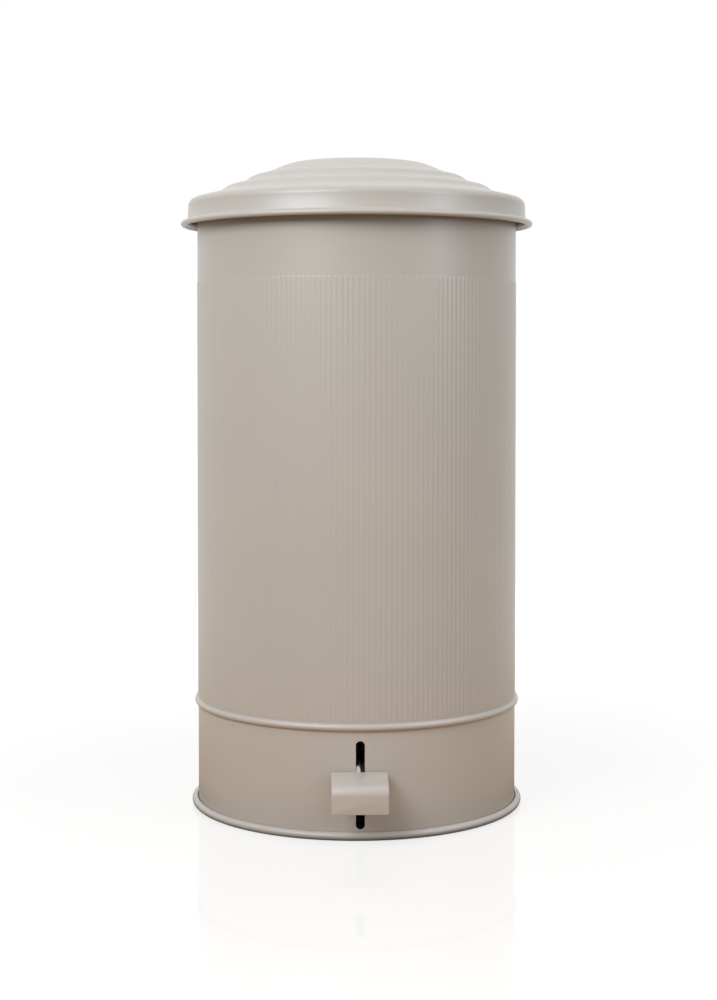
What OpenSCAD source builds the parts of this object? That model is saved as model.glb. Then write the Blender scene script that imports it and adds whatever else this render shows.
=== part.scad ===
// Pedal bin in painted sheet steel: ribbed body, stepped lid, lift-out bucket.
// Origin on the floor at the body's axis, +Z up, pedal towards -Y, lid hinge towards +Y.

/* [Body] */
// Outer diameter of the sheet steel body
body_d = 295; // [250:1:340]
// Height of the body's rolled top edge above the floor
body_h = 555; // [440:1:700]
// Thickness of the body sheet
sheet_t = 0.8; // [0.6:0.1:1.2]
// Radius of the rolled top edge
hem_r = 2; // [1.6:0.1:2.4]
// Height of the swaged bead that holds the inner floor
bead_z = 96.7; // [92:0.1:130]
// Radius of the swaged bead
bead_r = 3.2; // [2.4:0.1:4]
// Number of pressed ribs round the body
rib_count = 196; // [120:4:240]
// Height of a rib above the sheet
rib_h = 0.45; // [0.2:0.05:0.8]
// Plain strip between the bead and the foot of the ribs
rib_foot = 1.2; // [1:0.1:10]
// Plain band between the head of the ribs and the top edge
plain_band = 71; // [66:1:120]
// Width of the plain strip at the welded rear seam
seam_w = 18; // [12:1:40]

/* [Base] */
// Radius of the bead of the floor ring
ring_r = 3.6; // [3:0.1:5]
// How far the ring's bead stands out from the body's wall
ring_out = 5.8; // [5:0.1:7]
// Height of the bottom plate above the floor
plate_z = 8.2; // [7.8:0.1:9]

/* [Pedal] */
// Width of the slots in the wall
slot_w = 7.8; // [6:0.1:10]
// Lower end of the front slot
slot_low = 9.2; // [9.1:0.1:12]
// Upper end of the front slot
slot_high = 85.3; // [78:0.1:88]
// Width of the pedal
pedal_w = 48.3; // [30:0.1:70]
// Sideways place of the pedal
pedal_x = -0.9; // [-2:0.1:2]
// Reach of the pedal in front of the wall
pedal_reach = 36; // [28:0.5:44]
// Height of the pedal's top at the wall
pedal_z = 59.4; // [58:0.1:62]
// Downward slope of the pedal's top
pedal_slope = 9.5; // [5:0.5:14]
// Lower edge of the pedal's front flange
flange_z = 30.7; // [30:0.1:36]
// Thickness of the pedal sheet
pedal_t = 2; // [1.5:0.1:3]
// Outside radius of the pedal's fold
fold_r = 8.5; // [4:0.5:9]

/* [Mechanism] */
// Height of the lever's pivot
pivot_z = 50; // [48:0.5:54]
// Thickness of the lever bar
lever_t = 3.5; // [2:0.5:4]
// Sideways place of the lever and the push rod in the slots
lever_x = -1.8; // [-1.8:0.1:1.8]
// Diameter of the pivot pin
pivot_d = 6; // [5:0.5:8]
// Diameter of the push rod
rod_d = 5; // [4:0.5:6]
// Distance of the push rod from the wall
rod_off = 9.5; // [9:0.1:12]
// Length of the lid's crank arm
crank_r = 21; // [18:0.5:22]
// Opening angle of the lid
lid_open = 70; // [60:1:74]
// Diameter of the hinge pin
hinge_d = 6; // [5:0.5:7]

/* [Lid] */
// Space between the body's wall and the lid's skirt
skirt_gap = 8; // [7.8:0.1:10]
// Thickness of the lid sheet
lid_t = 1; // [0.8:0.1:1.2]
// Radius of the lid's rolled rim
rim_r = 2.5; // [2:0.1:3.2]
// Height of the skirt from the rolled rim's centre to the shoulder
skirt_h = 16.3; // [14:0.1:24]
// Radius of the lid's shoulder
shoulder_r = 7; // [5:0.1:10]
// Distance from the skirt in to the foot of the outer step
shoulder_w = 29.1; // [24:0.1:34]
// Distance between the feet of the outer and the middle step
terrace_1 = 23.1; // [18:0.1:28]
// Distance between the feet of the middle and the inner step
terrace_2 = 19.8; // [17:0.1:26]
// Rise of the outer and the middle step
step_rise = 5.2; // [4:0.1:8]
// Rise of the inner step
top_rise = 8.5; // [6:0.1:12]
// Rise of the crown above the inner step
crown_rise = 4.4; // [3:0.1:9]

/* [Bucket] */
// Height of the bucket's rim below the body's top edge
bucket_drop = 43; // [38:1:80]
// Wall thickness of the bucket
bucket_t = 1.6; // [1.2:0.1:2.5]
// Space between the bucket's rim and the body's wall
bucket_gap = 6.7; // [6:0.1:12]
// Draft of the bucket's wall, on the radius
bucket_draft = 17; // [10:1:30]
// Diameter of the bail wire
bail_d = 4; // [3:0.5:5]
// Diameter of the bail's grip
grip_d = 10; // [8:0.5:12]

/* [Hidden] */
$fn = 96;

// Paint and material colours
paint = "#b9b2aa";
zinc = "#a9adb0";
dark_plastic = "#3a3a3c";
nylon = "#e4e2da";
silicone = "#c9c9c6";
rubber = "#2a2a2a";

// Clearances
run_c = 0.05;   // running fit on a pin, on the radius
slide_c = 0.1;  // sliding fit on the rod, on the radius
free_c = 0.3;   // space between pieces that move past each other
weld = 0.01;    // seat of one piece on another of the same body

// Body
R = body_d / 2;
wall_in = R - sheet_t;
wall_foot = 1.8;
rib_z0 = bead_z + bead_r + rib_foot;
rib_z1 = body_h - plain_band;
hem_c = R + 0.1;
ring_c = R + ring_out - ring_r;
plate_t = 0.8;
floor_z = bead_z + 0.4;
floor_t = 0.8;
floor_edge = R + bead_r - sheet_t - 0.5;
dish_r = R - 29;
dish_drop = 3;

// Push rod and lid crank
rod_r = rod_d / 2;
rod_y = R + rod_off;
half_open = lid_open / 2;
crank_play = crank_r * (1 - cos(half_open)) / 2;
rod_stroke = 2 * crank_r * sin(half_open);
lid_rim_z = body_h - 18.6;
hinge_y = rod_y + crank_r * (1 + cos(half_open)) / 2;
hinge_z = lid_rim_z - 11.4;
hinge_r = hinge_d / 2;
crank_y = hinge_y - crank_r * cos(half_open);
crank_z = hinge_z - rod_stroke / 2;
crank_pin_r = 2.5;

// Pedal lever
pivot_y = 0;
pivot_r = pivot_d / 2;
arm_0 = rod_y - pivot_y;
half_0 = asin(rod_stroke / 2 / arm_0);
rear_arm = 2 * arm_0 / (1 + cos(half_0));
half_lever = asin(rod_stroke / 2 / rear_arm);
lever_angle = 2 * half_lever;
lever_end = [pivot_y + rear_arm * cos(half_lever), pivot_z - rod_stroke / 2];
lever_end_r = 6;
slot_room = 10;
clevis_r = 2;
lever_slot_w = 2 * arm_0 * (1 - cos(half_0)) + 0.6;

// Pedal, as y and z of its side view
pedal_back = -(R + 1.5);
pedal_front = -(R + pedal_reach);

// Brackets, along x
ear_t = 2;
pivot_ear = 11;
hinge_ear = 15;
cheek_in = 9.2;
cheek_t = 1.5;
yoke_in = 4;
clevis_in = lever_t / 2 + 0.6;
fork_t = 1.5;
rivet_r = 2;

// Lid
skirt_r = R + skirt_gap + lid_t;
skirt_lean = 0.8;
rim_c = skirt_r + 3.7;
skirt_top = lid_rim_z + skirt_h;
tread = 0.25;
step_run = 6;
step_round = 2.2;
top_run = 20;
foot_1 = skirt_r - shoulder_w;
foot_2 = foot_1 - terrace_1;
foot_3 = foot_2 - terrace_2;

// Bucket and bail
lip_z = body_h - bucket_drop;
lip_out = wall_in - bucket_gap;
bucket_top = lip_out - 8.6;
bucket_foot = bucket_top - bucket_draft;
bucket_z = floor_z - dish_drop + 0.2;
bail_r = bail_d / 2;
bail_bend = 2 * bail_r;
bail_arc = lip_out - 6 - bail_bend;
bail_z = lip_z + grip_d / 2 + free_c;
lug_in = bail_arc + bail_bend + 0.8;
lug_t = 3;

// Points on a circle's arc
function arc(c, r, a0, a1, n = 10) =
    [for (i = [0:n]) let (a = a0 + (a1 - a0) * i / n) [c[0] + r * cos(a), c[1] + r * sin(a)]];

// Points on a curve from a to c that is pulled towards b
function pull(a, b, c, n = 8) =
    [for (i = [0:n]) let (t = i / n) (1 - t) * (1 - t) * a + 2 * t * (1 - t) * b + t * t * c];

function reversed(p) = [for (i = [len(p) - 1:-1:0]) p[i]];
function moved(p, d) = [for (q = p) q + d];

// A side view in y and z, made w wide along x
module side_plate(w) {
    rotate([90, 0, 90]) translate([0, 0, -w / 2]) linear_extrude(w) children();
}

// A round bar along x, centred on x
module x_bar(r, length, y, z, x = 0) {
    translate([x - length / 2, y, z]) rotate([0, 90, 0]) cylinder(r = r, h = length);
}

// A slot through x, long in y, with round ends
module x_slot(r, reach, width, y, z) {
    for (s = [-1, 1]) x_bar(r, width, y + s * reach, z);
    translate([-width / 2, y - reach, z - r]) cube([width, 2 * reach, 2 * r]);
}

// A slot through the wall, upright, with round ends
module wall_slot(z0, z1, side) {
    r = slot_w / 2;
    deep = 24;
    translate([0, side * R - deep / 2, 0]) {
        for (z = [z0 + r, z1 - r])
            translate([0, 0, z]) rotate([-90, 0, 0]) cylinder(r = r, h = deep);
        translate([-r, 0, z0 + r]) cube([slot_w, deep, z1 - z0 - 2 * r]);
    }
}

// A band that follows a round wall at the rear, between two radii and two heights
module rear_band(r0, r1, z0, z1, half_w) {
    intersection() {
        difference() {
            translate([0, 0, z0]) cylinder(r = r1, h = z1 - z0);
            translate([0, 0, z0 - 1]) cylinder(r = r0, h = z1 - z0 + 2);
        }
        translate([-half_w, 0, z0]) cube([2 * half_w, 2 * r1, z1 - z0]);
    }
}

// Places children at both sides of the rear, standing out along the wall's radius
module rear_pair(x, r, z) {
    for (s = [-1, 1])
        rotate([0, 0, -s * asin(x / r)]) translate([0, 0, z]) rotate([-90, 0, 0]) children();
}

// Holes for a pair of rivets through a round wall's rear
module rear_holes(x, r, z) {
    rear_pair(x, r, z) cylinder(r = rivet_r, h = 2 * R);
}

// A rivet along z: shank from low to high, a head on each end
module rivet(low, high) {
    head = 1.1;
    translate([0, 0, low]) cylinder(r = rivet_r - weld, h = high - low);
    translate([0, 0, high]) cylinder(r1 = 3.6, r2 = 2.2, h = head);
    translate([0, 0, low - head]) cylinder(r = 3.2, h = head);
}

// Angle at which a circle about x = c crosses the line at x
function crossing(c, r, x) = acos((x - c) / r);

// Section of the wall below the ribs, from its foot over the swaged bead
module foot_section() {
    c = R - 0.1;
    r = bead_r - sheet_t;
    out = crossing(c, bead_r, R);
    in = crossing(c, r, wall_in);
    polygon(concat([[R, wall_foot]], arc([c, bead_z], bead_r, -out, out, 12), [[R, rib_z0]],
                   [[wall_in, rib_z0]], arc([c, bead_z], r, in, -in, 12),
                   [[wall_in, wall_foot]]));
}

// Section of the wall above the ribs, up to the rolled edge
module head_section() {
    out = crossing(hem_c, hem_r, R);
    in = 360 - crossing(hem_c, hem_r, wall_in);
    polygon(concat([[wall_in, rib_z1], [R, rib_z1]],
                   arc([hem_c, body_h - hem_r], hem_r, -out, in, 24)));
}

// The sheet between the head and the foot: pressed ribs, left plain at the welded seam.
// Its inside has one flat a rib.
module ribbed_sheet() {
    pitch = 360 / rib_count;
    low = R + 0.03;
    high = R + rib_h;
    plain = asin(seam_w / 2 / R) / pitch;
    flutes = [for (i = [0:rib_count - 1])
        let (a = 90 + (i + 0.5) * pitch, ribbed = i + 0.5 > plain && i + 0.5 < rib_count - plain,
             crest = ribbed ? high : low)
        for (p = [[-0.3, low], [-0.12, crest], [0.12, crest], [0.3, low]])
            [p[1] * cos(a + p[0] * pitch), p[1] * sin(a + p[0] * pitch)]];
    flat = wall_in / cos(pitch / 2);
    inside = [for (i = [0:rib_count - 1]) flat * [cos(90 + i * pitch), sin(90 + i * pitch)]];
    translate([0, 0, rib_z0]) linear_extrude(rib_z1 - rib_z0) difference() {
        polygon(flutes);
        polygon(inside);
    }
}

// Ribbed body sheet with its bead, rolled edge, slots and rivet holes
module outer_body() {
    color(paint) {
        difference() {
            rotate_extrude() foot_section();
            wall_slot(slot_low, slot_high, -1);
            wall_slot(lever_end[1] - slot_room, lever_end[1] + rod_stroke + slot_room, 1);
            rear_holes(guide_x, R, guide_levels()[0]);
        }
        ribbed_sheet();
        // Cores inside the sheet, across the joints at the foot and the head of the ribs
        for (z = [rib_z0, rib_z1])
            rotate_extrude() translate([R - sheet_t / 2, z]) square(sheet_t / 2, center = true);
        difference() {
            rotate_extrude() head_section();
            rear_holes(guide_x, R, guide_levels()[1]);
            for (z = hinge_levels()) rear_holes(hinge_x, R, z);
        }
    }
}

// Floor ring: a bead outside and a channel that takes the wall's foot
module base_ring() {
    color(paint) difference() {
        union() {
            rotate_extrude() translate([ring_c, ring_r]) circle(r = ring_r);
            difference() {
                cylinder(r = ring_c, h = 5);
                translate([0, 0, -1]) cylinder(r = wall_in - plate_t - 1.5, h = 8);
            }
        }
        difference() {
            translate([0, 0, wall_foot - 0.2]) cylinder(r = R + 0.1, h = 20);
            cylinder(r = wall_in - plate_t - 0.1, h = 30);
        }
    }
}

// Bottom plate: a pressed pan whose flange goes down beside the wall
module bottom_plate() {
    flat_r = 40;
    raised_r = R - 47.5;
    raise = 2.5;
    top = [[0, 0], [flat_r, 0], [flat_r + 4, raise], [raised_r - 4, raise], [raised_r, 0],
           [wall_in - weld, 0]];
    under = moved(top, [0, -plate_t]);
    rim = [[wall_in - weld, 2 - plate_z], [wall_in - plate_t, 2 - plate_z],
           [wall_in - plate_t, -plate_t]];
    low = [for (p = under) if (p[0] < wall_in - 1) p];
    color(zinc) difference() {
        translate([0, 0, plate_z]) rotate_extrude() polygon(concat(top, rim, reversed(low)));
        for (y = rivet_ys()) translate([0, y, 0]) cylinder(r = rivet_r, h = 20);
    }
}

// Inner floor: snapped into the bead, with a dish that centres the bucket
module inner_floor() {
    top = [[0, -dish_drop], [dish_r, -dish_drop], [dish_r + 3, 0], [floor_edge, 0]];
    color(zinc) translate([0, 0, floor_z])
        rotate_extrude() polygon(concat(top, reversed(moved(top, [0, -floor_t]))));
}

function rivet_ys() = [-17, 17];

// U bracket on the bottom plate that carries the lever's pin
module pivot_bracket() {
    boss = 9;
    foot = 24;
    ear = concat([[-foot, plate_z + weld], [foot, plate_z + weld], [foot, plate_z + 8]],
                 arc([pivot_y, pivot_z], boss, 12, 168), [[-foot, plate_z + 8]]);
    color(zinc) difference() {
        union() {
            for (s = [-1, 1])
                translate([s * (pivot_ear + ear_t / 2), 0, 0]) side_plate(ear_t) polygon(ear);
            translate([-pivot_ear - 1, -foot, plate_z + weld])
                cube([2 * pivot_ear + 2, 2 * foot, ear_t]);
        }
        x_bar(pivot_r + run_c, 40, pivot_y, pivot_z);
        for (y = rivet_ys()) translate([0, y, 0]) cylinder(r = rivet_r, h = 20);
    }
}

// Pin along x through two ears whose outer faces lie at -out and out: a head on one end
// and a groove for its clip on the other
module grooved_pin(r, out, y, z) {
    groove = out + 0.8;
    difference() {
        union() {
            x_bar(r, 2 * out + 5, y, z, 1);
            x_bar(r + 1.5, 1.5, y, z, -out - 0.8);
        }
        difference() {
            x_bar(r + 3, 0.9, y, z, groove);
            x_bar(r - 0.6, 2, y, z, groove);
        }
    }
}

// Pin along x that is riveted over at both ends, past faces at -out and out
module riveted_pin(r, out, y, z, x = 0) {
    x_bar(r - weld, 2 * out, y, z, x);
    for (s = [-1, 1]) x_bar(r + 1, 1, y, z, x + s * (out + 0.5));
}

// Pin of the lever's pivot
module pivot_pin() {
    color(zinc) grooved_pin(pivot_r, pivot_ear + ear_t, pivot_y, pivot_z);
}

// Open retaining clip on a grooved pin
module e_clip(r, y, z, x) {
    difference() {
        x_bar(r + 2, 0.7, y, z, x);
        x_bar(r - 0.55, 3, y, z, x);
        translate([x - 2, y - r + 0.8, z]) cube([4, 2 * r - 1.6, r + 5]);
    }
}

module pivot_clips() {
    color(zinc) e_clip(pivot_r, pivot_y, pivot_z, pivot_ear + ear_t + 0.8);
}

// Two rivets that hold the pivot bracket on the bottom plate
module pivot_rivets() {
    color(zinc) for (y = rivet_ys())
        translate([0, y, 0]) rivet(plate_z - plate_t - weld, plate_z + ear_t + 2 * weld);
}

// Where the lever's lower edge comes down on its stop
stop_y = pivot_y - (R - 30.5);
lever_low = -11.5;
function pressed(p) = [p[0] * cos(lever_angle) - p[1] * sin(lever_angle),
                       p[0] * sin(lever_angle) + p[1] * cos(lever_angle)];

// Rubber stop on the bottom plate under the lever
module lever_stop() {
    r = 6;
    at = pressed([(stop_y - pivot_y - r) / cos(lever_angle), lever_low]);
    top = pivot_z + at[1] - free_c;
    color(rubber) translate([lever_x, stop_y, plate_z + weld]) {
        cylinder(r = r, h = top - plate_z - 1.5);
        translate([0, 0, top - plate_z - 1.5]) cylinder(r1 = r, r2 = r - 1.5, h = 1.5);
    }
}

guide_h = 12;
guide_w = 38;
guide_t = 2.5;
guide_x = 14;
function guide_levels() = [bead_z - bead_r - 1.5 - guide_h / 2, rib_z1 + 3 + guide_h / 2];

// Two moulded guides for the push rod
module rod_guides() {
    color(nylon) for (z = guide_levels()) difference() {
        translate([0, 0, z - guide_h / 2]) union() {
            rear_band(R + weld, R + guide_t, 0, guide_h, guide_w / 2);
            translate([lever_x - rod_r - 1.5, R - 1, 0]) cube([rod_d + 3, rod_off, guide_h]);
            translate([lever_x, rod_y, 0]) cylinder(r = rod_r + 3, h = guide_h);
        }
        translate([0, 0, z - guide_h]) cylinder(r = R + weld, h = 2 * guide_h);
        translate([lever_x, rod_y, z - guide_h]) cylinder(r = rod_r + slide_c, h = 2 * guide_h);
        rear_holes(guide_x, R, z);
    }
}

module guide_rivets() {
    color(zinc) for (z = guide_levels())
        rear_pair(guide_x, R, z) rivet(wall_in - 0.1, R + guide_t + weld);
}

hinge_x = 23.5;
hinge_w = 60;
hinge_low = hinge_z - 20;
hinge_high = hinge_z + 6.5;
hinge_plate_t = 1.5;
function hinge_levels() = [hinge_low + 5, hinge_high - 5.5];

// Bracket on the rear wall, with two ears for the hinge pin
module hinge_bracket() {
    boss = hinge_r + 4;
    sill = 5;
    window = cheek_in + cheek_t + 1.3;
    ear = concat([[R - 4, hinge_low + 2], [R + 6, hinge_low + 2]],
                 arc([hinge_y, hinge_z], boss, -60, 90), [[R - 4, hinge_z + boss]]);
    color(zinc) difference() {
        union() {
            difference() {
                rear_band(R + weld, R + hinge_plate_t, hinge_low, hinge_high, hinge_w / 2);
                translate([-window, 0, hinge_low + sill])
                    cube([2 * window, 2 * R, hinge_high - hinge_low]);
            }
            for (s = [-1, 1])
                translate([s * (hinge_ear + ear_t / 2), 0, 0]) side_plate(ear_t) polygon(ear);
        }
        translate([0, 0, hinge_low - 5]) cylinder(r = R + weld, h = hinge_high - hinge_low + 10);
        x_bar(hinge_r + run_c, hinge_w, hinge_y, hinge_z);
        for (z = hinge_levels()) rear_holes(hinge_x, R, z);
    }
}

module hinge_rivets() {
    color(zinc) for (z = hinge_levels())
        rear_pair(hinge_x, R, z) rivet(wall_in - 0.1, R + hinge_plate_t + weld);
}

// Pin of the lid's hinge
module hinge_pin() {
    color(zinc) grooved_pin(hinge_r, hinge_ear + ear_t, hinge_y, hinge_z);
}

module hinge_clip() {
    color(zinc) e_clip(hinge_r, hinge_y, hinge_z, hinge_ear + ear_t + 0.8);
}

// Side view of the pedal sheet: sloped top, fold and upright front flange
function pedal_line(inset) =
    let (dir = [-cos(pedal_slope), -sin(pedal_slope)],
         // The fold's centre lies one radius under the top and behind the flange
         cy = pedal_front + fold_r,
         top_at = pedal_z + (cy + R) * tan(pedal_slope),
         cz = top_at - fold_r / cos(pedal_slope),
         r = fold_r - inset,
         back = [pedal_back, pedal_z + (pedal_back + R) * tan(pedal_slope)
                             - inset / cos(pedal_slope)])
    concat([back], arc([cy, cz], r, 90 + pedal_slope, 180, 8), [[cy - r, flange_z]]);

// Folded pedal with round corners
module pedal_plate() {
    back_corner = 3;
    low_corner = 1.2;
    w = pedal_w / 2;
    plan = concat(arc([w - back_corner, pedal_back - back_corner], back_corner, 0, 90, 6),
                  arc([-w + back_corner, pedal_back - back_corner], back_corner, 90, 180, 6),
                  [[-w, pedal_front - 1], [w, pedal_front - 1]]);
    front = concat(arc([-w + low_corner, flange_z + low_corner], low_corner, 180, 270, 4),
                   arc([w - low_corner, flange_z + low_corner], low_corner, 270, 360, 4),
                   [[w, pedal_z + 5], [-w, pedal_z + 5]]);
    color(paint) translate([pedal_x, 0, 0]) intersection() {
        side_plate(pedal_w + 2) polygon(concat(pedal_line(0), reversed(pedal_line(pedal_t))));
        linear_extrude(pedal_z + 10) polygon(plan);
        rotate([90, 0, 0]) linear_extrude(2 * R) polygon(front);
    }
}

// Flat lever bar from under the pedal, over the pivot, to the push rod
module pedal_lever() {
    under = pedal_line(pedal_t + weld);
    low = pivot_z + lever_low;
    crown = pivot_z + 13;
    chin = [pedal_front + pedal_t + weld, flange_z + 4];
    crest = [[-R + 2, pedal_z + 4], [-R + 7, pedal_z + 4], [-R + 12, pedal_z - 5]];
    tail = arc(lever_end, lever_end_r, 80, -95, 10);
    outline = concat([chin], [for (p = reversed(under)) if (p[1] > chin[1]) p], crest,
                     [[pivot_y - 10, crown], [pivot_y + 10, crown]], tail,
                     [[pivot_y + 14, low - 1.5], [pivot_y - 14, low], [-R + 14, low],
                      [-R - 8, chin[1]]]);
    color(paint) difference() {
        translate([lever_x, 0, 0]) side_plate(lever_t) polygon(outline);
        // The crest is ground off on the right where it shows in the front slot
        translate([lever_x, -R + 25, 0]) rotate([90, 0, 0]) linear_extrude(30)
            polygon([[-0.6, pedal_z + 7], [lever_t / 2 + 1, pedal_z - 0.4],
                     [lever_t / 2 + 1, pedal_z + 7]]);
        x_bar(bush_r, 20, pivot_y, pivot_z);
        x_slot(clevis_r + 0.5, lever_slot_w / 2, 20, lever_end[0], lever_end[1]);
    }
}

bush_r = pivot_r + 2;

// Two flanged bushes pressed into the lever from either side
module lever_bushes() {
    reach = pivot_ear - free_c;
    color(nylon) difference() {
        union() for (s = [-1, 1]) {
            face = lever_x + s * (lever_t / 2 + weld);
            x_bar(bush_r - weld, abs(s * reach - lever_x), pivot_y, pivot_z, (s * reach + lever_x) / 2);
            x_bar(bush_r + 2, abs(s * reach - face), pivot_y, pivot_z, (s * reach + face) / 2);
        }
        x_bar(pivot_r + run_c, 60, pivot_y, pivot_z);
        x_bar(bush_r + 5, 0.02, pivot_y, pivot_z, lever_x);
    }
}

clevis_top = lever_end[1] + 8;
yoke_low = crank_z - 8;
web_t = 2;

// Push rod: straight wire outside the rear wall
module push_rod() {
    color(zinc) translate([lever_x, rod_y, clevis_top + web_t + weld])
        cylinder(r = rod_r, h = yoke_low - clevis_top - 2 * web_t - 2 * weld);
}

// Fork of two cheeks joined by a web
module fork(inside, outline, web_y, web_z) {
    for (s = [-1, 1])
        translate([s * (inside + fork_t / 2), 0, 0]) side_plate(fork_t) polygon(outline);
    translate([-inside - 0.5, web_y[0], web_z]) cube([2 * inside + 1, web_y[1], web_t]);
}

// Fork at the rod's foot, round the lever's end
module rod_clevis() {
    y = rod_y;
    z = lever_end[1];
    outline = concat(arc([y, z], 5, 180, 360), [[y + 5, clevis_top + web_t],
                     [y - 5, clevis_top + web_t]]);
    color(zinc) difference() {
        translate([lever_x, 0, 0]) fork(clevis_in, outline, [y - 5, 10], clevis_top);
        x_bar(clevis_r, 20, y, z);
    }
}

// Pin through the clevis and the lever's slot
module clevis_pin() {
    color(zinc) riveted_pin(clevis_r, clevis_in + fork_t, rod_y, lever_end[1], lever_x);
}

// Fork at the rod's head, with slots for the lid's crank pin
module rod_yoke() {
    y = rod_y;
    reach = crank_play + 0.4;
    r = crank_pin_r + 0.6;
    side = reach + r + 1.3;
    outline = concat([[y - side, yoke_low - web_t], [y + side, yoke_low - web_t]],
                     arc([y + side - 2, crank_z + r], 2, 0, 90, 4),
                     arc([y - side + 2, crank_z + r], 2, 90, 180, 4));
    color(zinc) difference() {
        translate([lever_x, 0, 0]) fork(yoke_in, outline, [y - side, 2 * side], yoke_low - web_t);
        x_slot(r, reach, 30, y, crank_z);
    }
}

// Outside of the lid in section: the leaning skirt, then the corners of its steps
function skirt_at(z) = skirt_r + 0.1 - skirt_lean * (z - lid_rim_z) / skirt_h;
shoulder_end = [skirt_at(skirt_top) - shoulder_r * (1 - sin(atan(tread))),
                skirt_top + shoulder_r * cos(atan(tread))];
function climbed(p, run, rise) = p + [-run, rise];
function trodden(p, r) = [r, p[1] + tread * (p[0] - r)];
step_corners =
    let (f1 = trodden(shoulder_end, foot_1), k1 = climbed(f1, step_run, step_rise),
         f2 = trodden(k1, foot_2), k2 = climbed(f2, step_run, step_rise),
         f3 = trodden(k2, foot_3), k3 = climbed(f3, top_run, top_rise))
    [shoulder_end, f1, k1, f2, k2, f3, k3];

// The point that lies d from a on the way to b
function toward(a, b, d) = a + d * (b - a) / norm(b - a);

function lid_outside() =
    let (c = step_corners, edge = c[6], top = [0, edge[1] + crown_rise],
         brow = [edge[0] * 0.45, top[1]])
    concat([[rim_c - 0.6, lid_rim_z + 1.9], [skirt_r + 1.1, lid_rim_z + 2.4],
            [skirt_at(lid_rim_z + 4), lid_rim_z + 4]],
           arc([skirt_at(skirt_top) - shoulder_r, skirt_top], shoulder_r, 0, 90 - atan(tread), 10),
           [for (i = [1:5]) each pull(toward(c[i], c[i - 1], step_round), c[i],
                                      toward(c[i], c[i + 1], step_round), 5)],
           pull(toward(edge, c[5], 2 * step_round), edge, toward(edge, brow, 2 * step_round), 6),
           pull(toward(edge, brow, 3 * step_round), brow, top, 10));

// The same section moved in by the sheet's thickness
function lid_inside() =
    let (o = lid_outside())
    concat([[rim_c - 2, lid_rim_z - 0.5], [skirt_r - 0.1, lid_rim_z + 0.9]],
           [for (i = [2:len(o) - 1])
               let (up = max(0, min(1, (o[i][1] - skirt_top) / shoulder_r)),
                    a = i < 14 ? asin(up) : 90)
               [max(0, o[i][0] - lid_t * cos(a)), o[i][1] - lid_t * sin(a)]]);

// Pressed steel lid: skirt with a rolled rim, shoulder, two terraces and a crown
module lid_dome() {
    color(paint) difference() {
        union() {
            rotate_extrude() polygon(concat(lid_outside(), reversed(lid_inside())));
            rotate_extrude() translate([rim_c, lid_rim_z]) circle(r = rim_r);
        }
        rear_holes(lid_rivet_x, skirt_r, lid_rivet_z);
    }
}

lid_rivet_x = 20;
lid_rivet_z = lid_rim_z + 10;
band_low = lid_rim_z + 5;
band_high = skirt_top;

// Lid bracket inside the skirt: a curved band and two cheeks with the crank arms
module lid_bracket() {
    band_t = 1.5;
    band_w = 54;
    front = R + 3;
    band = [[skirt_at(band_low) - lid_t - weld, band_low],
            [skirt_at(band_high) - lid_t - weld, band_high],
            [skirt_at(band_high) - lid_t - band_t, band_high],
            [skirt_at(band_low) - lid_t - band_t, band_low]];
    back = skirt_r - lid_t - band_t - 0.3;
    cheek = concat([[front, band_high], [front, hinge_z + 6]],
                   arc([crank_y, crank_z], 4.3, 165, 310), arc([hinge_y, hinge_z], 7, -50, 90),
                   [[back + 1.5, hinge_z + 7], [back, hinge_z + 9], [back, band_high]]);
    color(zinc) difference() {
        union() {
            intersection() {
                rotate_extrude() polygon(band);
                translate([-band_w / 2, 0, 0]) cube([band_w, 2 * R, band_high + 1]);
            }
            for (s = [-1, 1])
                translate([s * (cheek_in + cheek_t / 2), 0, 0]) side_plate(cheek_t) polygon(cheek);
        }
        x_bar(hinge_r + 2, 60, hinge_y, hinge_z);
        x_bar(crank_pin_r, 60, crank_y, crank_z);
        rear_holes(lid_rivet_x, skirt_r, lid_rivet_z);
    }
}

module lid_rivets() {
    low = skirt_at(lid_rivet_z) - lid_t - 1.8;
    color(zinc) rear_pair(lid_rivet_x, skirt_r, lid_rivet_z) rivet(low, low + lid_t + 1.95);
}

// Crank pin riveted through the two cheeks
module crank_pin() {
    color(zinc) riveted_pin(crank_pin_r, cheek_in + cheek_t, crank_y, crank_z);
}

// Flanged bushes in the cheeks, running on the hinge pin
module hinge_bushes() {
    out = hinge_ear - free_c;
    flange = out - cheek_in - cheek_t;
    color(nylon) for (s = [-1, 1]) difference() {
        union() {
            x_bar(hinge_r + 2 - weld, out - cheek_in + 0.5, hinge_y, hinge_z,
                  s * (out + cheek_in - 0.5) / 2);
            x_bar(hinge_r + 3.5, flange - weld, hinge_y, hinge_z, s * (out - flange / 2 + 0.005));
        }
        x_bar(hinge_r + run_c, R, hinge_y, hinge_z);
    }
}

// Silicone bumpers under the lid, over the body's rolled edge
module lid_bumpers() {
    under = moved(lid_inside(), [0, -0.02]);
    bumper_r = 3.5;
    color(silicone) intersection() {
        for (a = [45:90:315]) rotate([0, 0, a]) translate([hem_c, 0, body_h + free_c])
            cylinder(r = bumper_r, h = R);
        rotate_extrude() polygon(concat([for (p = under) if (p[1] > band_low) p],
                                        [[0, band_low], [under[2][0], band_low]]));
    }
}

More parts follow.
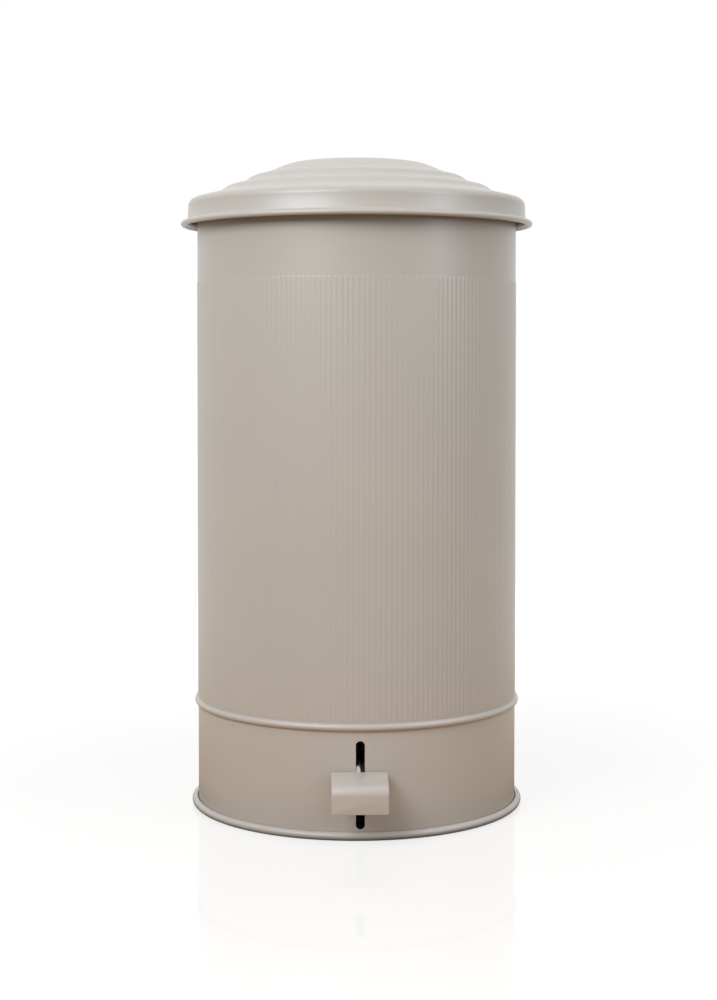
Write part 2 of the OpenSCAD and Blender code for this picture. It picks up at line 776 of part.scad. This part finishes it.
// Lift-out bucket: tapered wall, foot ring, flat lip and two bail lugs
module inner_bucket() {
    foot_h = 3;
    base_t = 2;
    lip_t = 2;
    skirt = 9;
    r0 = bucket_foot;
    r1 = bucket_top;
    section = [[0, foot_h], [r0 - 4, foot_h], [r0 - 4, 0], [r0, 0], [r1, lip_z - bucket_z - lip_t],
               [lip_out - bucket_t, lip_z - bucket_z - lip_t],
               [lip_out - bucket_t, lip_z - bucket_z - skirt], [lip_out, lip_z - bucket_z - skirt],
               [lip_out, lip_z - bucket_z], [r1 - bucket_t, lip_z - bucket_z],
               [r0 - bucket_t + 0.3, foot_h + base_t], [0, foot_h + base_t]];
    lug = concat([[-7, lip_z - 1]], arc([0, bail_z], 5, 180, 0), [[7, lip_z - 1]]);
    color(dark_plastic) difference() {
        union() {
            translate([0, 0, bucket_z]) rotate_extrude() polygon(section);
            for (s = [-1, 1])
                translate([s * (lug_in + lug_t / 2), 0, 0]) side_plate(lug_t) polygon(lug);
        }
        x_bar(bail_r + slide_c, 3 * R, 0, bail_z);
    }
}

// Bail wire lying over the rear half of the lip, its ends bent out through the lugs
module bail() {
    tip = lug_in + lug_t + 0.7;
    bent = bail_arc + bail_bend;
    core_l = 0.4;
    color(zinc) {
        bail_ring(180) circle(r = bail_r);
        for (s = [-1, 1]) {
            translate([s * bent, bail_bend, bail_z]) rotate([0, 0, s > 0 ? 180 : -90])
                rotate_extrude(angle = 90) translate([bail_bend, 0]) circle(r = bail_r);
            // Cores across the joints of arc and bend, and of bend and end
            translate([s * bail_arc, bail_bend + core_l / 2, bail_z]) rotate([90, 0, 0])
                cylinder(r = bail_r - weld, h = core_l);
            x_bar(bail_r - weld, core_l, 0, bail_z, s * bent);
            x_bar(bail_r, tip - bent, 0, bail_z, s * (tip + bent) / 2);
            x_bar(bail_r + 0.9, 0.8, 0, bail_z, s * (tip + 0.4));
        }
    }
}

// A piece swept along the bail's arc, about the middle of its rear
module bail_ring(angle) {
    translate([0, bail_bend, bail_z]) rotate([0, 0, 90 - angle / 2])
        rotate_extrude(angle = angle) translate([bail_arc, 0]) children();
}

// Moulded grip round the middle of the bail
module bail_grip() {
    color(dark_plastic) bail_ring(44) difference() {
        circle(r = grip_d / 2);
        circle(r = bail_r + weld);
    }
}

outer_body();
base_ring();
bottom_plate();
inner_floor();
pivot_bracket();
pivot_pin();
pivot_clips();
pivot_rivets();
lever_stop();
rod_guides();
guide_rivets();
hinge_bracket();
hinge_rivets();
hinge_pin();
hinge_clip();
pedal_plate();
pedal_lever();
lever_bushes();
push_rod();
rod_clevis();
clevis_pin();
rod_yoke();
lid_dome();
lid_bracket();
lid_rivets();
crank_pin();
hinge_bushes();
lid_bumpers();
inner_bucket();
bail();
bail_grip();
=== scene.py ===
"""Pedal bin in painted sheet steel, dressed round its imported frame.

Sizes are in mm and MM turns them into metres, except in the studio at the end, which is in metres.
"""

import math

import bmesh
import bpy
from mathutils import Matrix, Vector


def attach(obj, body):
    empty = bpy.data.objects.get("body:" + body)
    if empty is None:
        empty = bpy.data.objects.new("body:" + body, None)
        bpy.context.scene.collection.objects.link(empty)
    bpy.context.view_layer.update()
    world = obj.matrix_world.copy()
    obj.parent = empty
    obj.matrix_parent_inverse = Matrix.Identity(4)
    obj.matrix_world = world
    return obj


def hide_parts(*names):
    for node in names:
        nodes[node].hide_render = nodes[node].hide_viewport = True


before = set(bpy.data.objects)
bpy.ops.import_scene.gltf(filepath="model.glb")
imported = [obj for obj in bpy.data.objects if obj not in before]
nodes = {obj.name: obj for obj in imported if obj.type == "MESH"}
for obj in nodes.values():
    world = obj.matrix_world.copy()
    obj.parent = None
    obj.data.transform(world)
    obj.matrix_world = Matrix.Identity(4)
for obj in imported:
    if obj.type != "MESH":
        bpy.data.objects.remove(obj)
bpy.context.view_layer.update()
MM = 0.001
# Points closer than this are one point
WELD = 0.002

# Sheet steel body, as in the part's source: wall, rolled top edge, bead, rear seam and slots
WALL_R = 147.5
WALL_T = 0.8
WALL_FOOT = 1.8
BODY_TOP = 555.0
HEM_R = 2.0
HEM_C = WALL_R + 0.1
BEAD_Z = 96.7
BEAD_R = 3.2
BEAD_C = WALL_R - 0.1
SEAM_HALF = 9.0
SLOT_W = 7.8
SLOT_DEEP = 16.0
FRONT_SLOT = (9.2, 85.3)
REAR_SLOT = (27.955, 72.045)

# Pressed ribs, and the rows of points over which each one runs out at its foot and at its head
RIBS = 196
RIB_POINTS = 6
RIB_RISE = 0.33
RIB_LOW = 101.1
RIB_HIGH = 484.0
FOOT_ROWS = (0, 0.7, 1.4, 2.2)
HEAD_ROWS = (2.4, 1.8, 1.3, 0.8, 0.4, 0)

# Floor ring: a rolled bead round the wall's foot, the seat under the wall and a lip inside it
RING_C = 149.7
RING_R = 3.6
CREASE_R = WALL_R + 0.9
SEAT_Z = 1.6
LIP_OUT = WALL_R - WALL_T - 0.9
LIP_IN = LIP_OUT - 1.4
LIP_TOP = 5.0
RING_STEPS = 256

# Lid: rolled rim and skirt. The rim's roll runs between the two angles, and closes on the underside
RIM_Z = 536.4
RIM_C = 160.2
RIM_R = 2.5
ROLL = (200, 465)
CURL_END = (RIM_C - 0.65, RIM_Z + 2.42)
NECK = (156.8, RIM_Z + 2.6)
UNDERSIDE = [(155.7, RIM_Z), (156.3, RIM_Z - 0.8)]
SKIRT_R = 156.6
SKIRT_H = 16.3
SKIRT_FOOT = RIM_Z + 4.0
SKIRT_LEAN = 0.8
LID_T = 1.0
LID_STEPS = 288

# Lid: shoulder, three steps as run and rise, and crown. TREAD is the slope of what lies between,
# BROW the share of the last step's radius where the crown goes level, and each soft length is how
# far from its point a corner of the sheet starts to round
SHOULDER_R = 7.0
TREAD = 0.25
STEP_FEET = (127.4, 104.3, 84.5)
STEPS = ((6, 5.2), (6, 5.2), (20, 8.5))
CROWN_RISE = 4.4
BROW = 0.45
STEP_SOFT = 3.7
EDGE_SOFT = 5.4
CROWN_SOFT = 7.0

# Pedal, as y and z of its side view, with its rounded corners and its broken edges
PEDAL_W = 48.3
PEDAL_X = -0.9
PEDAL_BACK = -149.0
PEDAL_FRONT = -183.5
PEDAL_TOP = 59.4
PEDAL_SLOPE = math.radians(9.5)
PEDAL_T = 2.0
FOLD_R = 8.5
FLANGE_LOW = 30.7
BACK_CORNER = 3.0
LOW_CORNER = 1.2
PEDAL_BREAK = 0.5


def arc(centre, r, start, end, steps):
    """Points on a circle's arc, angles in degrees."""
    turns = [math.radians(start + (end - start) * i / steps) for i in range(steps + 1)]
    return [(centre[0] + r * math.cos(a), centre[1] + r * math.sin(a)) for a in turns]


def pull(a, b, c, steps):
    """Points on a curve from a to c that is pulled towards b."""
    found = []
    for i in range(steps + 1):
        t = i / steps
        weights = ((1 - t) ** 2, 2 * t * (1 - t), t * t)
        found.append(tuple(sum(w * p for w, p in zip(weights, axis)) for axis in zip(a, b, c)))
    return found


def crossing(c, r, x):
    """Angle at which a circle about x = c crosses the line at x."""
    return math.degrees(math.acos((x - c) / r))


def toward(a, b, d):
    """The point that lies d from a on the way to b."""
    a, b = Vector(a), Vector(b)
    return tuple(a + (b - a).normalized() * d)


def ease(t):
    """A soft start and a soft stop between 0 and 1."""
    t = max(0.0, min(1.0, t))
    return t * t * (3 - 2 * t)


def alone(piece):
    """Selects one piece and nothing else."""
    bpy.ops.object.select_all(action="DESELECT")
    piece.select_set(True)
    bpy.context.view_layer.objects.active = piece


def applied(piece, kind, **settings):
    """Adds a modifier to a piece and applies it."""
    alone(piece)
    made = piece.modifiers.new(kind.title(), kind)
    for key, value in settings.items():
        setattr(made, key, value)
    bpy.ops.object.modifier_apply(modifier=made.name)


def smoothed(piece, angle=35):
    """Smooth shading, with edges kept that turn more than the angle."""
    alone(piece)
    bpy.ops.object.shade_smooth_by_angle(angle=math.radians(angle))


def line(name, points):
    """A chain of edges through points, drawn on from one point. Leaves edit mode on."""
    bpy.ops.object.select_all(action="DESELECT")
    bpy.ops.mesh.primitive_plane_add(size=MM)
    piece = bpy.context.object
    piece.name = piece.data.name = name
    bpy.ops.object.mode_set(mode="EDIT")
    bpy.ops.mesh.select_all(action="SELECT")
    bpy.ops.mesh.merge(type="CENTER")
    here = Vector(points[0]) * MM
    bpy.ops.transform.translate(value=here)
    for point in points[1:]:
        there = Vector(point) * MM
        bpy.ops.mesh.extrude_region_move(TRANSFORM_OT_translate={"value": there - here})
        here = there
    bpy.ops.mesh.select_all(action="SELECT")
    return piece


def turned(name, section, steps):
    """Round sheet metal: a closed section of (radius, height) points, spun about the bin's axis."""
    piece = line(name, [(x, 0, z) for x, z in section + section[:1]])
    bpy.ops.object.mode_set(mode="OBJECT")
    applied(piece, "SCREW", angle=math.tau, steps=steps, render_steps=steps,
            use_merge_vertices=True, merge_threshold=WELD * MM)
    bpy.ops.object.mode_set(mode="EDIT")
    bpy.ops.mesh.select_all(action="SELECT")
    bpy.ops.mesh.remove_doubles(threshold=WELD * MM)
    bpy.ops.mesh.normals_make_consistent(inside=False)
    bpy.ops.object.mode_set(mode="OBJECT")
    return piece


def slot_cutter(low, high, side):
    """A block with round ends for a slot through the wall, in front (-1) or at the rear (1)."""
    bpy.ops.object.select_all(action="DESELECT")
    middle = (0, side * WALL_R * MM, (low + high) / 2 * MM)
    bpy.ops.mesh.primitive_cube_add(size=1, location=middle)
    cutter = bpy.context.object
    cutter.scale = (SLOT_W * MM, SLOT_DEEP * MM, (high - low) * MM)
    bpy.ops.object.transform_apply(location=True, rotation=True, scale=True)
    bm = bmesh.new()
    bm.from_mesh(cutter.data)
    deep = SLOT_DEEP / 2 * MM
    along = [e for e in bm.edges if abs(e.verts[0].co.y - e.verts[1].co.y) > deep]
    # A hair under half the width, so that the two rounds of an end don't fall together
    round_end = SLOT_W * 0.499 * MM
    bmesh.ops.bevel(bm, geom=along, offset=round_end, segments=12, profile=0.5, affect="EDGES")
    bm.to_mesh(cutter.data)
    bm.free()
    return cutter


def cut(piece, cutters):
    """Takes each cutter's shape out of a piece, and the cutter away."""
    for cutter in cutters:
        applied(piece, "BOOLEAN", object=cutter, operation="DIFFERENCE", solver="EXACT")
        bpy.data.objects.remove(cutter)


# Body

def body_section():
    """Section of the wall: up its outside, over the rolled top edge and down its inside."""
    inside = WALL_R - WALL_T
    bead_out = crossing(BEAD_C, BEAD_R, WALL_R)
    bead_in = crossing(BEAD_C, BEAD_R - WALL_T, inside)
    hem_out = crossing(HEM_C, HEM_R, WALL_R)
    hem_in = 360 - crossing(HEM_C, HEM_R, inside)
    foot = [RIB_LOW + d for d in FOOT_ROWS]
    head = [RIB_HIGH - d for d in HEAD_ROWS]
    return (
        [(WALL_R, WALL_FOOT)]
        + arc((BEAD_C, BEAD_Z), BEAD_R, -bead_out, bead_out, 14)
        + [(WALL_R, z) for z in foot + head]
        + arc((HEM_C, BODY_TOP - HEM_R), HEM_R, -hem_out, hem_in, 20)
        + [(inside, z) for z in (head[-1], head[0], foot[-1], foot[0])]
        + arc((BEAD_C, BEAD_Z), BEAD_R - WALL_T, bead_in, -bead_in, 8)
        + [(inside, WALL_FOOT)]
    )


def press_ribs(sheet):
    """Presses the ribs into the sheet. The lap seam at the rear stays plain."""
    pitch = math.tau / RIBS
    plain = math.asin(SEAM_HALF / WALL_R)
    for v in sheet.data.vertices:
        z = v.co.z / MM
        off = math.atan2(v.co.x, v.co.y)
        if abs(off) <= plain or not RIB_LOW < z < RIB_HIGH:
            continue
        crest = 0.5 + 0.5 * math.cos(math.tau * (off / pitch + 0.5))
        ends = ease((z - RIB_LOW) / FOOT_ROWS[-1]) * ease((RIB_HIGH - z) / HEAD_ROWS[0])
        r = v.co.xy.length
        v.co.xy *= (r + RIB_RISE * crest * ends * MM) / r


body = turned("body_sheet", body_section(), RIBS * RIB_POINTS)
press_ribs(body)
cut(body, [slot_cutter(*FRONT_SLOT, -1), slot_cutter(*REAR_SLOT, 1)])
smoothed(body, 40)
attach(body, "can")
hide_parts("outer_body")


# Floor ring: the wall stands in it with a narrow open crease round its foot

ring_section = (
    arc((RING_C, RING_R), RING_R, crossing(RING_C, RING_R, CREASE_R), -90, 24)
    + [(LIP_IN, 0), (LIP_IN, LIP_TOP), (LIP_OUT, LIP_TOP), (LIP_OUT, SEAT_Z), (CREASE_R, SEAT_Z)]
)
ring = turned("floor_ring", ring_section, RING_STEPS)
smoothed(ring)
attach(ring, "can")
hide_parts("base_ring")


# Lid

def skirt_at(z):
    """Radius of the skirt's outside, which leans in a little towards its top."""
    return SKIRT_R - SKIRT_LEAN * (z - RIM_Z) / SKIRT_H


def lid_outside():
    """Outside of the lid in section, from its shoulder over three steps to the crown."""
    top = RIM_Z + SKIRT_H
    lean = math.degrees(math.atan(TREAD))
    points = arc((skirt_at(top) - SHOULDER_R, top), SHOULDER_R, 0, 90 - lean, 14)
    corners = [points[-1]]
    for foot, (run, rise) in zip(STEP_FEET, STEPS):
        r, z = corners[-1]
        corners.append((foot, z + TREAD * (r - foot)))
        corners.append((foot - run, corners[-1][1] + rise))
    edge = corners[-1]
    crown = (0, edge[1] + CROWN_RISE)
    brow = (edge[0] * BROW, crown[1])
    for before, here, after in zip(corners, corners[1:], corners[2:] + [brow]):
        soft = EDGE_SOFT if here == edge else STEP_SOFT
        points += pull(toward(here, before, soft), here, toward(here, after, soft), 6)
    return points + pull(toward(edge, brow, CROWN_SOFT), brow, crown, 12)


def thinned(points, t):
    """The other face of a sheet whose outside runs through points, which go inwards."""
    inner = []
    for i, p in enumerate(points):
        a, b = Vector(points[max(0, i - 1)]), Vector(points[min(len(points) - 1, i + 1)])
        along = (b - a).normalized()
        inner.append((max(0.0, p[0] - t * along.y), p[1] + t * along.x))
    inner[-1] = (0, points[-1][1] - t)
    return inner


skirt_foot = skirt_at(SKIRT_FOOT)
lid_out = lid_outside()
lid_section = (
    arc((RIM_C, RIM_Z), RIM_R, *ROLL, 28)
    + pull(CURL_END, NECK, (skirt_foot, SKIRT_FOOT), 4)[1:]
    + lid_out
    + thinned(lid_out, LID_T)[::-1]
    + [(skirt_foot - LID_T, SKIRT_FOOT)]
    + UNDERSIDE
)
lid = turned("lid_shell", lid_section, LID_STEPS)
smoothed(lid, 50)
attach(lid, "lid")
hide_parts("lid_dome")


# Pedal

def pedal_side():
    """Side view of the pedal's outside: sloped top, fold and upright flange."""
    fold_y = PEDAL_FRONT + FOLD_R
    slope = math.tan(PEDAL_SLOPE)
    high = PEDAL_TOP + (fold_y + WALL_R) * slope
    fold = (fold_y, high - FOLD_R / math.cos(PEDAL_SLOPE))
    back = (PEDAL_BACK, PEDAL_TOP + (PEDAL_BACK + WALL_R) * slope)
    turn = arc(fold, FOLD_R, 90 + math.degrees(PEDAL_SLOPE), 180, 10)
    return [back] + turn + [(PEDAL_FRONT, FLANGE_LOW)]


def round_corners(sheet):
    """Rounds the four corners of the bent sheet and turns its faces outwards."""
    bm = bmesh.new()
    bm.from_mesh(sheet.data)
    back = [v for v in bm.verts if v.co.y > (PEDAL_BACK - WELD) * MM]
    low = [v for v in bm.verts if v.co.z < (FLANGE_LOW + WELD) * MM]
    for corners, size in ((back, BACK_CORNER), (low, LOW_CORNER)):
        bmesh.ops.bevel(bm, geom=corners, offset=size * MM, segments=6, profile=0.5,
                        affect="VERTICES")
    for face in bm.faces:
        if face.normal.y > 0.1 or face.normal.z < -0.1:
            face.normal_flip()
    bm.to_mesh(sheet.data)
    bm.free()


left = PEDAL_X - PEDAL_W / 2
pedal = line("pedal_pad", [(left, y, z) for y, z in pedal_side()])
bpy.ops.mesh.extrude_region_move(TRANSFORM_OT_translate={"value": (PEDAL_W * MM, 0, 0)})
bpy.ops.object.mode_set(mode="OBJECT")
round_corners(pedal)
applied(pedal, "SOLIDIFY", thickness=PEDAL_T * MM, offset=-1)
applied(pedal, "BEVEL", width=PEDAL_BREAK * MM, segments=3, limit_method="ANGLE",
        angle_limit=math.radians(50))
smoothed(pedal, 40)
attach(pedal, "pedal")
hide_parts("pedal_plate")


# Materials

def colour(text):
    """An sRGB hex colour as linear RGBA."""
    parts = [int(text[i:i + 2], 16) / 255 for i in (1, 3, 5)]
    return [p / 12.92 if p <= 0.04045 else ((p + 0.055) / 1.055) ** 2.4 for p in parts] + [1.0]


def add(tree, kind, inputs=None, **settings):
    """Adds a shader node. An input is a value, or another node's output to link."""
    made = tree.nodes.new("ShaderNode" + kind)
    for key, value in settings.items():
        setattr(made, key, value)
    for socket, value in (inputs or {}).items():
        if isinstance(value, bpy.types.NodeSocket):
            tree.links.new(value, made.inputs[socket])
        else:
            made.inputs[socket].default_value = value
    return made


def new_material(name):
    """An empty material, its node tree and the place on the piece."""
    made = bpy.data.materials.new(name)
    made.use_nodes = True
    tree = made.node_tree
    tree.nodes.clear()
    return made, tree, add(tree, "TexCoord").outputs["Object"]


def finish_of(name, light, dark, patch, grain, rough, depth, metal=0.0, ior=1.5, **extra):
    """A finish: two close colours in patches, and a grain that gives bump and roughness.

    Patch, grain and the grain's depth are real sizes in mm.
    """
    made, tree, where = new_material(name)
    cloud = add(tree, "TexNoise", {"Vector": where, "Scale": 1 / (patch * MM), "Detail": 3.0})
    fine = add(tree, "TexNoise", {"Vector": where, "Scale": 1 / (grain * MM), "Detail": 2.0})
    height = fine.outputs["Fac"]
    tint = add(tree, "MixRGB", {"Fac": cloud.outputs["Fac"], "Color1": colour(light),
                                "Color2": colour(dark)})
    dull = add(tree, "MapRange", {"Value": height, "To Min": rough[0], "To Max": rough[1]})
    bump = add(tree, "Bump", {"Height": height, "Strength": 1.0, "Distance": depth * MM})
    sockets = {
        "Base Color": tint.outputs["Color"],
        "Roughness": dull.outputs["Result"],
        "Normal": bump.outputs["Normal"],
        "Metallic": metal,
    }
    if not metal:
        sockets["IOR"] = ior
    sockets.update(extra)
    shader = add(tree, "BsdfPrincipled", sockets)
    add(tree, "OutputMaterial", {"Surface": shader.outputs["BSDF"]})
    return made


# Polyester powder coat on sheet steel, satin: warm greige with a faint orange peel 1 mm across
PAINT = finish_of("satin_powder_coat", "#b3a493", "#afa191", 60, 1.1, (0.4, 0.5), 0.004, ior=1.46,
                  **{"Coat Weight": 0.7, "Coat Roughness": 0.33, "Coat IOR": 1.35})
# Zinc plate on steel: pale bluish grey metal, a little cloudy, fine drawn grain
ZINC = finish_of("zinc_plate", "#c3c7ca", "#aeb2b3", 9, 0.6, (0.26, 0.42), 0.004, metal=1.0)
# Moulded polypropylene, dark: fine spark-eroded texture, dull
POLYPROPYLENE = finish_of("moulded_polypropylene", "#343436", "#2e2e30", 30, 0.5, (0.42, 0.56),
                          0.01, ior=1.49)
# Moulded nylon, natural: milky cream with a dull shine
NYLON = finish_of("moulded_nylon", "#e2dfd4", "#dad6ca", 12, 0.5, (0.36, 0.46), 0.004, ior=1.53)
# Clear silicone: pale and wet to the eye, and light goes through
SILICONE = finish_of("clear_silicone", "#d8d8d4", "#cfcfca", 8, 0.6, (0.18, 0.28), 0.003,
                     ior=1.41, **{"Transmission Weight": 0.5})
# Black rubber: matt, slightly dusty
RUBBER = finish_of("moulded_rubber", "#232323", "#2b2a28", 8, 0.4, (0.6, 0.75), 0.01, ior=1.52)

MADE_OF = {
    ZINC: [
        "bottom_plate", "inner_floor", "pivot_bracket", "pivot_pin", "pivot_clips",
        "pivot_rivets", "guide_rivets", "hinge_bracket", "hinge_rivets", "hinge_pin",
        "hinge_clip", "push_rod", "rod_clevis", "clevis_pin", "rod_yoke", "lid_bracket",
        "lid_rivets", "crank_pin", "bail",
    ],
    PAINT: ["outer_body", "base_ring", "pedal_plate", "pedal_lever", "lid_dome"],
    POLYPROPYLENE: ["inner_bucket", "bail_grip"],
    NYLON: ["rod_guides", "lever_bushes", "hinge_bushes"],
    SILICONE: ["lid_bumpers"],
    RUBBER: ["lever_stop"],
}


def dress(piece, material):
    """Gives a piece one material."""
    piece.data.materials.clear()
    piece.data.materials.append(material)


for material, names in MADE_OF.items():
    for name in names:
        dress(nodes[name], material)
for piece in (body, ring, lid, pedal):
    dress(piece, PAINT)


# Camera at the photograph's angle: from the front, above half height, a little to the left

DISTANCE = 1677.2
EYE = 414.6
TURN = math.radians(1.25)
PITCH = math.radians(1.78)
camera_data = bpy.data.cameras.new("camera")
camera = bpy.data.objects.new("camera", camera_data)
bpy.context.scene.collection.objects.link(camera)
camera.location = (-DISTANCE * math.sin(TURN) * MM, -DISTANCE * math.cos(TURN) * MM, EYE * MM)
camera.rotation_euler = (math.pi / 2 - PITCH, 0, -TURN)
camera_data.sensor_width = 36
camera_data.lens = 64.757
camera_data.shift_x = 0.0019
camera_data.shift_y = -0.0879
camera_data.clip_start, camera_data.clip_end = 0.05, 50
bpy.context.scene.camera = camera


# Studio, in metres: two soft lamps, a floor that goes white to the camera, and a pale sky

FLOOR_SIZE = 3
# Painted shade: for the light that falls, the floor is dark under the bin's foot, up to where the
# lit floor starts
FOOT_SHADE = (0.155, 0.2)
# From near the bin to far from it, the floor goes white to the camera
FADE = (0.3, 1.1)
NEAR_GLOW = 0.8
FAR_GLOW = 0.98
MIRROR_SHARE = 0.1
# The sky lights the bin from above: its strength rises between these heights
SKY_RISE = (0.05, 0.7)
SKY_STRENGTH = (0.02, 1.2)
DAYLIGHT = "#e3f0ff"


def lamp(name, at, aim, size, power):
    """A soft box at one point that faces another."""
    data = bpy.data.lights.new(name, "AREA")
    data.shape, data.size, data.size_y = "RECTANGLE", size[0], size[1]
    data.energy = power
    data.color = colour(DAYLIGHT)[:3]
    made = bpy.data.objects.new(name, data)
    bpy.context.scene.collection.objects.link(made)
    made.location = at
    made.rotation_euler = (Vector(aim) - Vector(at)).to_track_quat("-Z", "Y").to_euler()


def looked_at(tree):
    """1 for what the camera sees straight, in gloss or through glass, 0 for light that falls."""
    path = add(tree, "LightPath").outputs
    most = path["Is Camera Ray"]
    for kind in ("Is Glossy Ray", "Is Transmission Ray"):
        most = add(tree, "Math", {0: most, 1: path[kind]}, operation="MAXIMUM").outputs[0]
    return most


lamp("key", (-0.86, -1.17, 1.22), (0, 0, 0.4), (1.0, 0.7), 24)
lamp("fill", (1.3, -0.85, 1.1), (0, 0, 0.6), (0.4, 1.0), 10.5)

# A warm grey floor lights the bin. The camera sees a pale one with a faint mirror image
bpy.ops.object.select_all(action="DESELECT")
bpy.ops.mesh.primitive_plane_add(size=FLOOR_SIZE)
floor = bpy.context.object
floor.name = "floor"
made, tree, where = new_material("studio_floor")
camera_ray = add(tree, "LightPath").outputs["Is Camera Ray"]
away = add(tree, "VectorMath", {0: where}, operation="LENGTH").outputs["Value"]
far, foot = [
    add(tree, "MapRange", {"Value": away, "From Min": start, "From Max": end}).outputs["Result"]
    for start, end in (FADE, FOOT_SHADE)
]
# Tones from the bin's foot outwards for the light that falls, the first a painted shade under the
# foot, and last the one the camera sees
tone = colour("#574a38")
for share, text in ((foot, "#c3a27d"), (far, "#6e665a"), (camera_ray, "#746c63")):
    mixed = add(tree, "MixRGB", {"Fac": share, "Color1": tone, "Color2": colour(text)})
    tone = mixed.outputs["Color"]
near_glow, mirror_share = [
    add(tree, "Math", {0: camera_ray, 1: share}, operation="MULTIPLY").outputs[0]
    for share in (NEAR_GLOW, MIRROR_SHARE)
]
glow_share = add(tree, "MapRange", {"Value": far, "To Min": near_glow, "To Max": FAR_GLOW})
seen_glow = {0: looked_at(tree), 1: glow_share.outputs["Result"]}
strength = add(tree, "Math", seen_glow, operation="MULTIPLY")
matt = add(tree, "BsdfDiffuse", {"Color": tone})
glow = add(tree, "Emission", {"Color": colour("#ffffff"), "Strength": strength.outputs[0]})
pale = add(tree, "AddShader", {0: matt.outputs[0], 1: glow.outputs[0]})
mirror = add(tree, "BsdfGlossy", {"Color": colour("#ffffff"), "Roughness": 0.05})
surface = add(tree, "MixShader", {"Fac": mirror_share, 1: pale.outputs[0], 2: mirror.outputs[0]})
add(tree, "OutputMaterial", {"Surface": surface.outputs[0]})
floor.data.materials.append(made)

# The sky is white where it is looked at, and a pale blue light from above elsewhere
world = bpy.data.worlds.new("studio")
bpy.context.scene.world = world
world.use_nodes = True
tree = world.node_tree
tree.nodes.clear()
facing = add(tree, "TexCoord").outputs["Generated"]
height = add(tree, "SeparateXYZ", {"Vector": facing}).outputs["Z"]
strength = add(tree, "MapRange", {
    "Value": height, "From Min": SKY_RISE[0], "From Max": SKY_RISE[1],
    "To Min": SKY_STRENGTH[0], "To Max": SKY_STRENGTH[1],
})
sky = add(tree, "Background", {"Color": colour("#deecff"), "Strength": strength.outputs["Result"]})
white = add(tree, "Background", {"Color": colour("#ffffff"), "Strength": 1.0})
seen = add(tree, "MixShader", {"Fac": looked_at(tree), 1: sky.outputs[0], 2: white.outputs[0]})
add(tree, "OutputWorld", {"Surface": seen.outputs[0]})
bpy.context.scene.view_settings.view_transform = "Standard"
